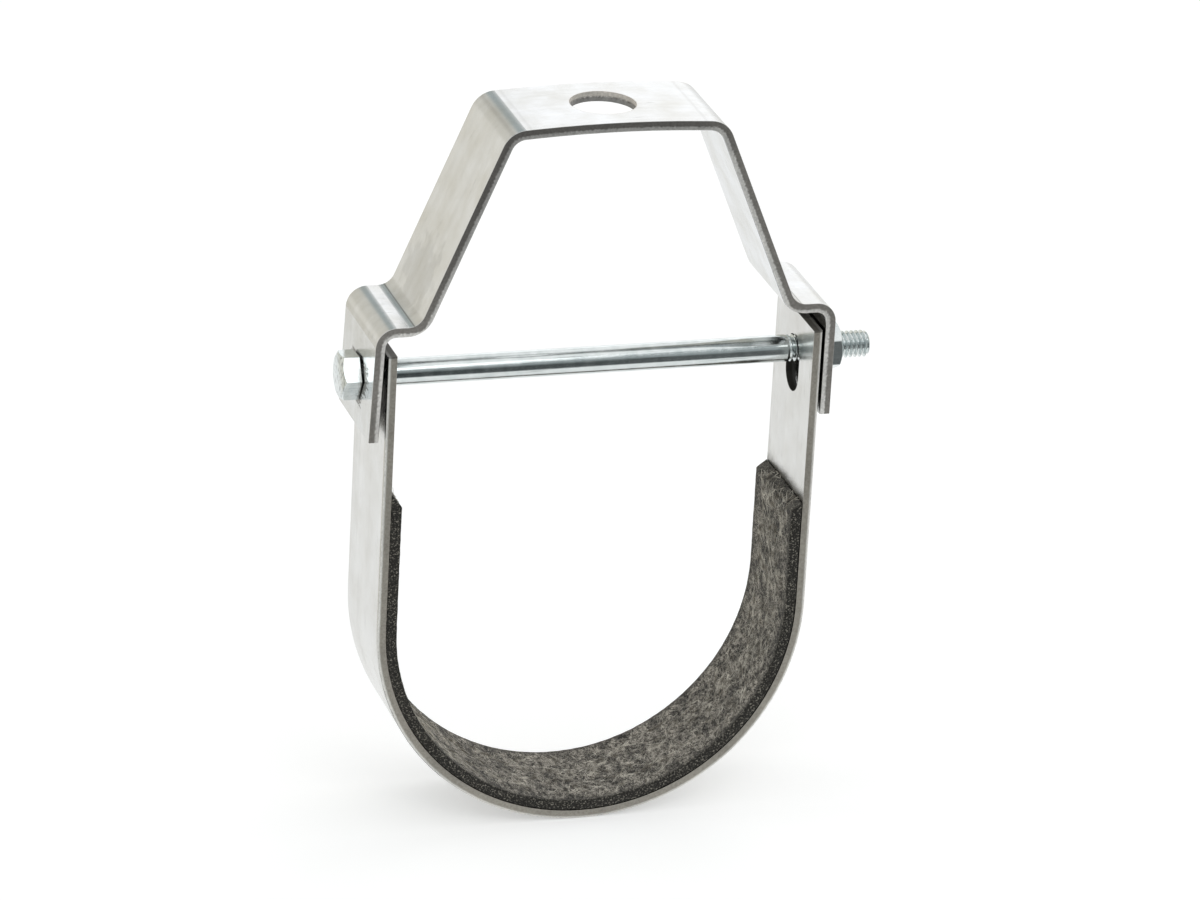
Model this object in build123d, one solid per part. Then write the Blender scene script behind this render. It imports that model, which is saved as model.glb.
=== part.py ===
"""Felt-lined clevis pipe hanger: folded upper yoke, U saddle, cross bolt, nut and felt liner.

Millimetres. +Z is up along the hanger rod, X runs along the cross bolt, Y along the pipe.
The origin is the centre of the rod hole, halfway through the top plate. The bolt's head is at
-X and its nut at +X. The saddle is drawn hanging with the tops of its slots on the bolt.
"""
import os
from math import cos, hypot, radians, tan

from build123d import *

# Pipe and liner
pipe_radius = 57.15            # nominal 4 inch steel pipe, 114.3 mm outside diameter
pipe_clearance = 1.15          # radial room between the pipe and the felt
felt_thickness = 3.2
glue_line = 0.1                # adhesive between the felt and the saddle
felt_left_rise = 42.5          # how far each end of the felt climbs above the pipe's centre
felt_right_rise = 31.3
felt_left_cut = 4.2            # how much lower each slanting end is on the pipe's side
felt_right_cut = 2.4

# Both straps
strap_width = 34.0
edge_roll = 0.7                # corner rolled over by the shear, along one face of each strap
edge_break = 0.2               # sharper corner along the other face

# Saddle, the U-shaped lower strap
saddle_thickness = 2.7
bolt_to_pipe_centre = 73.0
slot_width = 11.5
slot_height = 17.2
slot_cover = 7.5               # metal left above each slot

# Bolt and nut, 5/16 inch by 18 threads per inch
bolt_radius = 3.95
hex_across_flats = 12.7
head_height = 5.2
head_turn = 33.0               # degrees that a flat of the head is turned up from the front
nut_height = 6.75
nut_turn = 0.0                 # the nut shows a flat to the front
bolt_tail = 9.2                # bolt beyond the nut
tip_chamfer = 0.9
hex_half_flat = 30.0           # degrees from a hexagon's corner to the middle of its flat
hex_chamfer_angle = 30.0
hex_chamfer_share = 0.95       # chamfer circle, as a share of the width across flats
nut_mouth = 0.35               # countersink at each end of the nut's hole

# Clearances
hang_gap = 0.05                # slot top above the bolt, with the saddle hanging
bolt_hole_clearance = 0.1
thread_clearance = 0.03
bearing_gap = 0.03             # head and nut to the yoke's legs
touching = 0.001               # how near a drawn path an edge of its strap lies
leg_gap = 0.6                  # between each saddle leg and the yoke leg outside it

# Yoke, the folded upper strap
yoke_thickness = 3.0
rod_hole_radius = 9.55         # 3/4 inch hole for the hanger rod
plate_half_length = 31.8       # to the corner where plate and flank would meet
plate_peak = 1.9               # height of the plate's middle corner before it is rounded
plate_straight = 8.1           # straight stretch of the plate beside each of its end corners
bolt_drop = 76.6               # from the origin down to the bolt's axis
shelf_run = 12.4               # from the flank's foot corner out to the leg's outer face
headroom = 5.6                 # from the top of a saddle leg up to the shelf over it
leg_below_bolt = 14.2
left_leg_splay = 2.0           # degrees that the left leg stands out of plumb
top_bend = 4.5                 # inside radii of the bends
foot_bend = 5.0
shelf_bend = 3.0

# What follows from them
seat_radius = pipe_radius + pipe_clearance
felt_outer = seat_radius + felt_thickness
saddle_inner = felt_outer + glue_line
saddle_outer = saddle_inner + saddle_thickness
yoke_outer = saddle_outer + leg_gap + yoke_thickness

bolt_z = -bolt_drop
pipe_z = bolt_z - bolt_to_pipe_centre
slot_top = bolt_z + bolt_radius + hang_gap
slot_z = slot_top - slot_height / 2
saddle_top = slot_top + slot_cover
shelf_top = saddle_top + headroom + yoke_thickness

# The head bears on the lowest point of the splayed leg that its corners sweep over
hex_corner = hex_across_flats / 2 / cos(radians(hex_half_flat))
leg_splay = tan(radians(left_leg_splay))
splay_at_head = leg_splay * (shelf_top - bolt_z + hex_corner)
head_face = -yoke_outer - splay_at_head - bearing_gap
nut_face = yoke_outer + bearing_gap
bolt_end = nut_face + nut_height + bolt_tail

# The plate's middle corner is rounded as far as the straight stretches, and the top of that
# round lies half a thickness above the origin
plate_side = hypot(plate_half_length, plate_peak)
crown_radius = (plate_half_length - plate_straight) * plate_side / plate_peak
crown_loss = crown_radius * (plate_side / plate_half_length - 1)
corner_z = yoke_thickness / 2 + crown_loss - plate_peak


def offset_path(points, distance):
    """The path's corners moved sideways by a distance, to the right of its direction."""
    normals = []
    for (x0, z0), (x1, z1) in zip(points, points[1:]):
        run = hypot(x1 - x0, z1 - z0)
        normals.append(((z1 - z0) / run, (x0 - x1) / run))
    before = [normals[0]] + normals
    after = normals + [normals[-1]]
    moved = []
    for (x, z), (ax, az), (bx, bz) in zip(points, before, after):
        mitre = distance / (1 + ax * bx + az * bz)
        moved.append((x + mitre * (ax + bx), z + mitre * (az + bz)))
    return moved


def band(outside, inside):
    """A band of full width between two open paths drawn in X and Z."""
    ends = [Line(outside @ 0, inside @ 0), Line(outside @ 1, inside @ 1)]
    outline = make_face([*outside.edges(), *inside.edges(), *ends])
    return extrude(Plane.XZ * outline, amount=strap_width / 2, both=True)


def strap(rolled, plain):
    """A sheared strap between two paths, its corners rolled over along the first of them."""
    solid = band(rolled, plain)
    for path, radius in ((rolled, edge_roll), (plain, edge_break)):
        sheared = solid.faces().filter_by(Axis.Y).edges()
        middles = [(edge, edge @ 0.5) for edge in sheared]
        reach = [(edge, path.distance_to(Vector(at.X, at.Z))) for edge, at in middles]
        solid = fillet([edge for edge, away in reach if away < touching], radius)
    return solid


def across_bolt(sketch):
    """A sketch drawn in Y and Z at the bolt's height, cut right through both legs."""
    plane = Plane(origin=(0, 0, 0), x_dir=(0, 1, 0), z_dir=(1, 0, 0))
    return extrude(plane * sketch, amount=2 * yoke_outer, both=True)


def make_upper_yoke():
    """One strap folded into a plate, two flanks, two shelves and two legs."""
    right = [
        (plate_half_length, corner_z),
        (yoke_outer - shelf_run, shelf_top),
        (yoke_outer, shelf_top),
        (yoke_outer, bolt_z - leg_below_bolt),
    ]
    left = [(-x, z) for x, z in reversed(right)]
    left_foot = left[0][0] - leg_splay * (shelf_top - left[0][1])
    left[0] = (left_foot, left[0][1])
    outer_points = left + [(0, corner_z + plate_peak)] + right
    inner_points = offset_path(outer_points, yoke_thickness)

    half_outer = [top_bend + yoke_thickness, foot_bend, shelf_bend + yoke_thickness]
    half_inner = [top_bend, foot_bend + yoke_thickness, shelf_bend]
    outer_radii = half_outer[::-1] + [crown_radius] + half_outer
    inner_radii = half_inner[::-1] + [crown_radius - yoke_thickness] + half_inner

    outer = FilletPolyline(*outer_points, radius=outer_radii)
    inner = FilletPolyline(*inner_points, radius=inner_radii)
    body = strap(inner, outer)

    rod_hole = extrude(Circle(rod_hole_radius), amount=2 * yoke_thickness, both=True)
    bolt_holes = across_bolt(Pos(0, bolt_z) * Circle(bolt_radius + bolt_hole_clearance))
    return body - rod_hole - bolt_holes


def u_path(radius, left_top, right_top):
    """A U about the pipe's centre, from the top of its left leg round to the right one."""
    left = (-radius, pipe_z)
    right = (radius, pipe_z)
    return Wire([
        Line((-radius, left_top), left),
        ThreePointArc(left, (0, pipe_z - radius), right),
        Line(right, (radius, right_top)),
    ])


def make_saddle():
    """The U-shaped lower strap, with an upright slot near the top of each leg."""
    outside = u_path(saddle_outer, saddle_top, saddle_top)
    inside = u_path(saddle_inner, saddle_top, saddle_top)
    slot = Pos(0, slot_z) * Rot(0, 0, 90) * SlotOverall(slot_height, slot_width)
    return strap(outside, inside) - across_bolt(slot)


def make_felt_liner():
    """The felt strip glued inside the saddle, with both ends cut at a slant."""
    left = pipe_z + felt_left_rise
    right = pipe_z + felt_right_rise
    outside = u_path(felt_outer, left, right)
    inside = u_path(seat_radius, left - felt_left_cut, right - felt_right_cut)
    return band(outside, inside)


def hexagon(height, turn):
    """A hexagon standing on the origin along +X, with a flat turned up from the front."""
    side_plane = Plane(origin=(0, 0, 0), x_dir=(0, -1, 0), z_dir=(-1, 0, 0))
    corner_turn = hex_half_flat + turn
    shape = RegularPolygon(hex_across_flats / 2, 6, major_radius=False, rotation=corner_turn)
    return extrude(side_plane * shape, amount=-height)


def chamfer_limit(height):
    """A turned body along +X whose far end cuts the corners off a hexagon of this height."""
    circle = hex_across_flats / 2 * hex_chamfer_share
    drop = (hex_corner - circle) * tan(radians(hex_chamfer_angle))
    profile = Polyline(
        (0, 0),
        (0, hex_corner),
        (height - drop, hex_corner),
        (height, circle),
        (height, 0),
        close=True,
    )
    return revolve(make_face(profile), Axis.X)


def make_clevis_bolt():
    """The hexagon-head bolt; its thread is left as a plain cylinder of the full size."""
    block = hexagon(head_height, head_turn) & chamfer_limit(head_height)
    head = Pos(head_face, 0, bolt_z) * mirror(block, Plane.YZ)
    profile = Polyline(
        (head_face, 0),
        (head_face, bolt_radius),
        (bolt_end - tip_chamfer, bolt_radius),
        (bolt_end, bolt_radius - tip_chamfer),
        (bolt_end, 0),
        close=True,
    )
    shank = Pos(0, 0, bolt_z) * revolve(make_face(profile), Axis.X)
    return head + shank


def make_hex_nut():
    """The nut, chamfered at both ends, its hole countersunk at both mouths."""
    hole = bolt_radius + thread_clearance
    profile = Polyline(
        (0, 0),
        (0, hole + nut_mouth),
        (nut_mouth, hole),
        (nut_height - nut_mouth, hole),
        (nut_height, hole + nut_mouth),
        (nut_height, 0),
        close=True,
    )
    bore = revolve(make_face(profile), Axis.X)
    far_end = chamfer_limit(nut_height)
    near_end = Pos(nut_height, 0, 0) * mirror(far_end, Plane.YZ)
    nut = (hexagon(nut_height, nut_turn) & far_end & near_end) - bore
    return Pos(nut_face, 0, bolt_z) * nut


nodes = {
    "upper_yoke": make_upper_yoke,
    "lower_saddle": make_saddle,
    "felt_liner": make_felt_liner,
    "clevis_bolt": make_clevis_bolt,
    "hex_nut": make_hex_nut,
}

os.makedirs("parts", exist_ok=True)
for name, make in nodes.items():
    export_step(make(), f"parts/{name}.step")
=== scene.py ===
"""Looks of a felt-lined clevis pipe hanger: galvanised straps, zinc-plated bolt, grey felt.

Metres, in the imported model's frame. +Z is up along the hanger rod, X runs along the cross bolt
with its head at -X, and Y runs along the pipe. The photographer stood in front, at -Y.
"""
from math import cos, hypot, pi, radians, sin, tan

import bmesh
import bpy
from mathutils import Matrix, Vector, noise


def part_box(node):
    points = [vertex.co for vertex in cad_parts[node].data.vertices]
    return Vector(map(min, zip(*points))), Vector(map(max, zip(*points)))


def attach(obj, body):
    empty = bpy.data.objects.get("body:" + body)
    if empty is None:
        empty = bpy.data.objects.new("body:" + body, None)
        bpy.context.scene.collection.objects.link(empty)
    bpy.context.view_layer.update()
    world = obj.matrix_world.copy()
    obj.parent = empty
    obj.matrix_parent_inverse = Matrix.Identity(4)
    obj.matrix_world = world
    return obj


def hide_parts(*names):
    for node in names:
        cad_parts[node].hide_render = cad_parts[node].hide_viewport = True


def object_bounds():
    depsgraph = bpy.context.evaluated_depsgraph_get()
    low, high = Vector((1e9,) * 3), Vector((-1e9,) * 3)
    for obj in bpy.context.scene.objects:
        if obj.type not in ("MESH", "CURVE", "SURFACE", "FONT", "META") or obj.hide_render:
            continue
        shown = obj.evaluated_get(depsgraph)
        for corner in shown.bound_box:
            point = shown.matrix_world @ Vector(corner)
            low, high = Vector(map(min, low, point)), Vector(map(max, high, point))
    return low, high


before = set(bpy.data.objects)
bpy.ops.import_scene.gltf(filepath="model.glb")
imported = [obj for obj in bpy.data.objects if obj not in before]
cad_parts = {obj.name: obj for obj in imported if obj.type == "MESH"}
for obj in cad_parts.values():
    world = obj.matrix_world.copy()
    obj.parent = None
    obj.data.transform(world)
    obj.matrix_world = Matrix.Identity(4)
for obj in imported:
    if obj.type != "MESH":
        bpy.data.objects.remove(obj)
cad_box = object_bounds()
mm = 0.001

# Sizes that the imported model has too
BOLT_Z = -76.6 * mm
BOLT_RADIUS = 3.95 * mm
BOLT_TO_PIPE = 73.0 * mm
PIPE_Z = BOLT_Z - BOLT_TO_PIPE
ACROSS_FLATS = 12.7 * mm
CHAMFER_CIRCLE = 0.95 * ACROSS_FLATS / 2
CHAMFER_SLOPE = tan(radians(30))
HEAD_HEIGHT = 5.2 * mm
HEAD_TURN = radians(33)
TIP_CHAMFER = 0.9 * mm
NUT_MOUTH = 0.35 * mm
THREAD_CLEARANCE = 0.03 * mm
FELT_INSIDE = 58.3 * mm
FELT_THICKNESS = 3.2 * mm
FELT_ENDS = ((42.5 * mm, 4.2 * mm), (31.3 * mm, 2.4 * mm))
FELT_LENGTH = FELT_ENDS[0][0] + FELT_ENDS[1][0] + pi * (FELT_INSIDE + FELT_THICKNESS / 2)
STRAP_WIDTH = 34.0 * mm
SADDLE_INSIDE = 61.6 * mm
SADDLE_THICKNESS = 2.7 * mm
YOKE_THICKNESS = 3.0 * mm
YOKE_OUTSIDE = 67.9 * mm
SHELF_TOP = -56.5 * mm
SHELF_RUN = 12.4 * mm
LEFT_SPLAY = tan(radians(2))
PLATE_CORNER = (31.8 * mm, 0.309 * mm)
CROWN_RADIUS = 397 * mm
ROD_HOLE_RADIUS = 9.55 * mm
SLOT_WIDTH = 11.5 * mm
SADDLE_TOP = -65.1 * mm

# Thread of the 5/16 inch bolt, 18 to the inch
PITCH = 25.4 / 18 * mm
THREAD_DEPTH = 0.6134 * PITCH
NUT_THREAD_DEPTH = 0.54 * PITCH
THREAD_START = 58.5 * mm
RUN_OUT = 2 * PITCH
ROWS_PER_PITCH = 12
AROUND = 96

# Squares of the felt's mesh along it, across it and through it
FELT_STEPS = (300, 40, 4)


def colour(hex_code):
    """A colour written as sRGB hex, in Blender's linear values."""
    shares = [int(hex_code[i:i + 2], 16) / 255 for i in (1, 3, 5)]
    linear = [s / 12.92 if s <= 0.04045 else ((s + 0.055) / 1.055) ** 2.4 for s in shares]
    return (*linear, 1.0)


def add(tree, kind, *inputs, sockets=None, **settings):
    """Adds one node; ShaderNode is left off its kind.

    Inputs go in order or by name. A node or an output is linked, any other value is set.
    """
    node = tree.nodes.new(kind if "Node" in kind else "ShaderNode" + kind)
    for name, value in settings.items():
        setattr(node, name, value)
    for key, value in [*enumerate(inputs), *(sockets or {}).items()]:
        if isinstance(value, bpy.types.Node):
            value = value.outputs[0]
        if isinstance(value, bpy.types.NodeSocket):
            tree.links.new(value, node.inputs[key])
        elif value is not None:
            node.inputs[key].default_value = value
    return node


def new_piece(name, points, faces):
    """A mesh object at the origin, its place in its mesh."""
    mesh = bpy.data.meshes.new(name)
    mesh.from_pydata(points, [], faces)
    mesh.update()
    piece = bpy.data.objects.new(name, mesh)
    bpy.context.scene.collection.objects.link(piece)
    return piece


def bake(piece):
    """Turns a piece's modifiers into its plain mesh."""
    graph = bpy.context.evaluated_depsgraph_get()
    mesh = bpy.data.meshes.new_from_object(piece.evaluated_get(graph))
    piece.modifiers.clear()
    piece.data = mesh


# Camera, where the photographer's was


def place_camera():
    """A long lens from almost two metres away, a little above and to the left."""
    azimuth, elevation, roll = radians(-17.63), radians(22.396), radians(3.154)
    target = Vector((4.758, 0, -104.85)) * mm
    distance = 1923.3 * mm
    back = Vector((
        sin(azimuth) * cos(elevation),
        -cos(azimuth) * cos(elevation),
        sin(elevation),
    ))
    level = Vector((cos(azimuth), sin(azimuth), 0))
    right = Matrix.Rotation(roll, 3, back) @ level
    up = back.cross(right)
    turn = Matrix((right, up, back)).transposed().to_4x4()
    data = bpy.data.cameras.new("photo_camera")
    data.sensor_width = 36
    data.lens = 200.4
    data.clip_start = 0.05
    data.clip_end = 50
    camera = bpy.data.objects.new("photo_camera", data)
    camera.matrix_world = Matrix.Translation(target + back * distance) @ turn
    bpy.context.scene.collection.objects.link(camera)
    bpy.context.scene.camera = camera


# Studio


STUDIO_BANDS = [
    # degrees up from the front horizon, over the top and down behind, and the light there
    (-180, "#F0F1F1"),
    (-42, "#E4E6E6"),
    (-30, "#3C4142"),
    (2, "#3A3F40"),
    (16, "#9FA5A6"),
    (46, "#B4B9BA"),
    (54, "#FFFFFF"),
    (180, "#FFFFFF"),
]


def light_studio():
    """A white sweep behind with a grey curtain beside it, a dark room ahead, cream walls."""
    world = bpy.data.worlds.new("studio")
    bpy.context.scene.world = world
    world.use_nodes = True
    tree = world.node_tree
    tree.nodes.clear()
    way = add(tree, "SeparateXYZ", add(tree, "TexCoord").outputs["Generated"])
    x, y, z = way.outputs
    ahead = add(tree, "Math", y, -1.0, operation="MULTIPLY")
    angle = add(tree, "Math", z, ahead, operation="ARCTAN2")
    share = add(tree, "MapRange", angle, sockets={"From Min": -pi, "From Max": pi})
    bands = add(tree, "ValToRGB", share)
    elements = bands.color_ramp.elements
    for degrees, _ in STUDIO_BANDS[1:-1]:
        elements.new((degrees + 180) / 360)
    for element, (_, shade) in zip(elements, STUDIO_BANDS):
        element.color = colour(shade)

    def within(value, start, full):
        """How far a direction has gone from one limit to another."""
        return add(tree, "MapRange", value, interpolation_type="SMOOTHSTEP",
                   sockets={"From Min": start, "From Max": full})

    def over(walls, shade, *limits):
        """The walls with another shade over them, as far as a direction is in every limit."""
        share = limits[0]
        for limit in limits[1:]:
            share = add(tree, "Math", share, limit, operation="MULTIPLY")
        return add(tree, "Mix", share, data_type="RGBA", sockets={6: walls, 7: shade}).outputs[2]

    # A doorway in the dark front wall, on the right
    walls = over(bands, colour("#6E7070"), within(x, 0.262, 0.31), within(y, -0.3, -0.5),
                 within(z, 0.25, 0.05), within(z, -0.55, -0.45))
    # The room is dark in front only, and lighter to either side
    beside = add(tree, "Math", within(x, -0.1, -0.35), within(x, 0.36, 0.5), operation="MAXIMUM")
    walls = over(walls, colour("#C4C8C8"), beside, within(y, 0.0, -0.2), 0.8)
    # The grey curtain hangs high behind, from the left as far as the sweep
    walls = over(walls, colour("#A8B0AF"), within(x, 0.205, 0.15), within(z, 0.2, 0.3),
                 within(y, 0.3, 0.6))
    # The cream walls stand to either side of the sweep, and are paler at eye level
    cream = add(tree, "Math", within(x, 0.02, -0.14), within(x, 0.4, 0.65), operation="MAXIMUM")
    level = add(tree, "Math", z, operation="ABSOLUTE")
    wall = add(tree, "Mix", within(level, 0.15, 0.08), data_type="RGBA",
               sockets={6: colour("#DAD7CD"), 7: colour("#ECE9E0")})
    walls = over(walls, wall.outputs[2], cream, within(level, 0.6, 0.45), within(y, -0.1, 0.2))
    room_strength = 1.12
    room = add(tree, "Background", walls, room_strength)
    backdrop = add(tree, "Background", colour("#FFFFFF"), 1.0)
    seen = add(tree, "LightPath").outputs["Is Camera Ray"]
    shown = add(tree, "MixShader", seen, room, backdrop)
    add(tree, "OutputWorld", shown)


def hang_lamp(name, place, size, watts):
    """A soft lamp, so wide and so high, that faces the hanger's middle."""
    data = bpy.data.lights.new(name, "AREA")
    data.shape = "RECTANGLE"
    data.size, data.size_y = size
    data.energy = watts
    lamp = bpy.data.objects.new(name, data)
    place = Vector(place)
    facing = (place - Vector((0, 0, -0.1))).to_track_quat("Z", "Y")
    lamp.matrix_world = Matrix.Translation(place) @ facing.to_matrix().to_4x4()
    bpy.context.scene.collection.objects.link(lamp)


def lay_floor():
    """The pale table under the saddle, which ends just left of the hanger and in front of it."""
    lowest = cad_box[0].z
    left, right, front, rear = -0.185, 1.6, -0.19, 2.2
    outline = ((left, front), (right, front), (right, rear), (left, rear))
    table = new_piece("table", [(x, y, lowest) for x, y in outline], [(0, 1, 2, 3)])
    paint = bpy.data.materials.new("matt_white_table")
    paint.use_nodes = True
    tree = paint.node_tree
    tree.nodes.clear()
    path = add(tree, "LightPath")
    seen = add(tree, "Math", path.outputs["Is Camera Ray"],
               path.outputs["Is Glossy Ray"], operation="MAXIMUM")
    seen = add(tree, "Math", seen, path.outputs["Is Transmission Ray"], operation="MAXIMUM")
    matt = add(tree, "BsdfDiffuse", colour("#E2E2E2"))
    # Its own faint glow stands for the light that the sweep behind throws over it
    glow_strength = 0.33
    lift = add(tree, "Math", seen, glow_strength, operation="MULTIPLY")
    glow = add(tree, "Emission", colour("#FFFFFF"), lift)
    add(tree, "OutputMaterial", add(tree, "AddShader", matt, glow))
    table.data.materials.append(paint)


# Finishes


def new_finish(name):
    """An empty material with its output, its main shader and the piece's own coordinates."""
    finish = bpy.data.materials.new(name)
    finish.use_nodes = True
    tree = finish.node_tree
    tree.nodes.clear()
    shader = add(tree, "BsdfPrincipled")
    add(tree, "OutputMaterial", shader)
    place = add(tree, "TexCoord")
    return finish, tree, shader, place


def on_rod_hole(tree, x, y):
    """Whether a point of the yoke is on the wall of its rod hole."""
    flat = add(tree, "CombineXYZ", x, y, 0.0)
    from_rod = add(tree, "VectorMath", flat, operation="LENGTH").outputs["Value"]
    wall = ROD_HOLE_RADIUS + 0.1 * mm
    return add(tree, "Math", from_rod, wall, operation="LESS_THAN")


def yoke_form(tree, place, normal):
    """How deep a point of the yoke lies under its outer face, and whether it is on a cut."""
    x, y, z = place
    aside = add(tree, "Math", x, operation="ABSOLUTE")
    squared = add(tree, "Math", x, x, operation="MULTIPLY")
    crown = add(tree, "Math", squared, -0.5 / CROWN_RADIUS, YOKE_THICKNESS / 2,
                operation="MULTIPLY_ADD")
    under_plate = add(tree, "Math", crown, z, operation="SUBTRACT")
    corner_x, corner_z = PLATE_CORNER
    foot_x = YOKE_OUTSIDE - SHELF_RUN
    run = hypot(foot_x - corner_x, corner_z - SHELF_TOP)
    lean_x, lean_z = (corner_z - SHELF_TOP) / run, (foot_x - corner_x) / run
    reach = corner_x * lean_x + corner_z * lean_z
    out_x = add(tree, "Math", aside, -lean_x, reach, operation="MULTIPLY_ADD")
    in_flank = add(tree, "Math", z, -lean_z, out_x, operation="MULTIPLY_ADD")
    under_shelf = add(tree, "Math", SHELF_TOP, z, operation="SUBTRACT")
    is_left = add(tree, "Math", x, 0.0, operation="LESS_THAN")
    splay = add(tree, "Math", under_shelf, is_left, operation="MULTIPLY")
    leg_x = add(tree, "Math", splay, LEFT_SPLAY, YOKE_OUTSIDE, operation="MULTIPLY_ADD")
    in_leg = add(tree, "Math", leg_x, aside, operation="SUBTRACT")
    foot_round, shelf_round, top_round = 3.4 * mm, 7 * mm, 5 * mm
    depth = add(tree, "Math", in_flank, under_shelf, foot_round, operation="SMOOTH_MAX")
    depth = add(tree, "Math", depth, in_leg, shelf_round, operation="SMOOTH_MIN")
    depth = add(tree, "Math", depth, under_plate, top_round, operation="SMOOTH_MIN")

    edge = add(tree, "Math", normal[1], operation="ABSOLUTE")
    # The legs' ends are the only faces this low that look down
    end = add(tree, "Math", normal[2], -1.0, operation="MULTIPLY")
    low = add(tree, "Math", z, BOLT_Z - 12 * mm, operation="LESS_THAN")
    end = add(tree, "Math", end, low, operation="MULTIPLY")
    cut = add(tree, "Math", edge, on_rod_hole(tree, x, y), operation="MAXIMUM")
    return depth, add(tree, "Math", cut, end, operation="MAXIMUM")


def saddle_form(tree, place, normal):
    """How deep a point of the saddle lies under its outer face, and whether it is on a cut."""
    x, y, z = place
    low = add(tree, "Math", z, -PIPE_Z, operation="ADD")
    low = add(tree, "Math", low, 0.0, operation="MINIMUM")
    out = add(tree, "CombineXYZ", x, 0.0, low)
    radius = add(tree, "VectorMath", out, operation="LENGTH").outputs["Value"]
    outside = SADDLE_INSIDE + SADDLE_THICKNESS
    depth = add(tree, "Math", outside, radius, operation="SUBTRACT")
    way_out = add(tree, "VectorMath", out, operation="NORMALIZE")
    facing = add(tree, "CombineXYZ", *normal)
    through = add(tree, "VectorMath", way_out, facing, operation="DOT_PRODUCT")
    squared = add(tree, "Math", through.outputs["Value"], 2.0, operation="POWER")
    cut = add(tree, "Math", 1.0, squared, operation="SUBTRACT")
    return depth, add(tree, "Math", cut, operation="SQRT")


def yoke_marks_and_shade(tree, place, depth):
    """Where the yoke is darkened: painted shade lines by its bends, a thumb's smudge, painted
    shade in its joint and a painted shadow round the head.
    """
    x, y, z = place
    at = add(tree, "CombineXYZ", x, y, z)
    blot = add(tree, "TexNoise", sockets={"Vector": at, "Scale": 190.0, "Detail": 3.0})
    # The painted shadow round the bolt's head frays into strokes 0.8 mm high and 2.5 mm long
    fray_space = add(tree, "Mapping", at, sockets={"Scale": (1300, 420, 1300)})
    fray = add(tree, "TexNoise", sockets={
        "Vector": fray_space, "Scale": 1.0, "Detail": 3.0, "Roughness": 0.7})
    aside = add(tree, "Math", x, operation="ABSOLUTE")
    found = []
    # Painted shade lines for the darker reflections along the bends: a sharp one across each shelf
    # at its inner bend, and soft ones across the plate
    for away, width, share in ((57.1, 0.34, 0.6), (25.6, 0.9, 0.10), (30.8, 1.1, 0.22)):
        off = add(tree, "Math", aside, -away * mm, operation="ADD")
        off = add(tree, "Math", off, operation="ABSOLUTE")
        found.append(add(tree, "MapRange", off, interpolation_type="SMOOTHSTEP", sockets={
            "From Min": width * mm, "From Max": 0.0, "To Max": share}))

    # A thumb's smudge, some 20 mm across, low on the left flank
    smudge = add(tree, "VectorMath", at, (-52 * mm, 0.5 * mm, -47.5 * mm),
                 operation="DISTANCE").outputs["Value"]
    smudge = add(tree, "Math", blot, -22 * mm, smudge, operation="MULTIPLY_ADD")
    found.append(add(tree, "MapRange", smudge, interpolation_type="SMOOTHSTEP", sockets={
        "From Min": 3.5 * mm, "From Max": -3 * mm, "To Max": 0.17}))

    # Painted shadow of the gap between the bolt's head and the splayed leg: black under the head
    # and out to a frayed rim, wider above than below, as the gap is
    lift = add(tree, "Math", z, -BOLT_Z, operation="ADD")
    across = None
    for third in range(3):
        turn = HEAD_TURN + third * pi / 3
        over = add(tree, "Math", y, -cos(turn), operation="MULTIPLY")
        over = add(tree, "Math", lift, sin(turn), over, operation="MULTIPLY_ADD")
        over = add(tree, "Math", over, operation="ABSOLUTE")
        across = over if across is None else add(tree, "Math", across, over, operation="MAXIMUM")
    rim = add(tree, "Math", fray, -14 * mm, across, operation="MULTIPLY_ADD")
    rim = add(tree, "Math", lift, -0.2, rim, operation="MULTIPLY_ADD")
    rim = add(tree, "Math", y, 0.15, rim, operation="MULTIPLY_ADD")
    rim = add(tree, "MapRange", rim, sockets={
        "From Min": ACROSS_FLATS / 2 - 4.6 * mm, "From Max": ACROSS_FLATS / 2 - 5.0 * mm,
        "To Max": 0.97})
    level = add(tree, "MapRange", lift, sockets={
        "From Min": 6.5 * mm, "From Max": 5.8 * mm, "To Min": 0.08})
    rim = add(tree, "Math", rim, level, operation="MULTIPLY")
    on_left = add(tree, "Math", x, 0.0, operation="LESS_THAN")
    found.append(add(tree, "Math", rim, on_left, operation="MULTIPLY"))

    outer = add(tree, "Math", depth, 1.0 * mm, operation="LESS_THAN")
    marks = found[0]
    for mark in found[1:]:
        marks = add(tree, "Math", marks, mark, operation="MAXIMUM")
    marks = add(tree, "Math", marks, outer, operation="MULTIPLY")

    # Painted shade inside the joint: the legs' inner faces darken from 14 mm below the bolt to
    # nearly the soil colour, up to 4 mm under the shelf
    inner = add(tree, "Math", depth, 0.9 * YOKE_THICKNESS, operation="GREATER_THAN")
    in_leg = add(tree, "MapRange", z, sockets={
        "From Min": BOLT_Z - 14 * mm, "From Max": BOLT_Z - 9 * mm, "To Max": 0.93})
    below = add(tree, "Math", z, SHELF_TOP - 4 * mm, operation="LESS_THAN")
    in_leg = add(tree, "Math", in_leg, below, operation="MULTIPLY")
    in_leg = add(tree, "Math", in_leg, inner, operation="MULTIPLY")
    return add(tree, "Math", marks, in_leg, operation="MAXIMUM")


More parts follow.
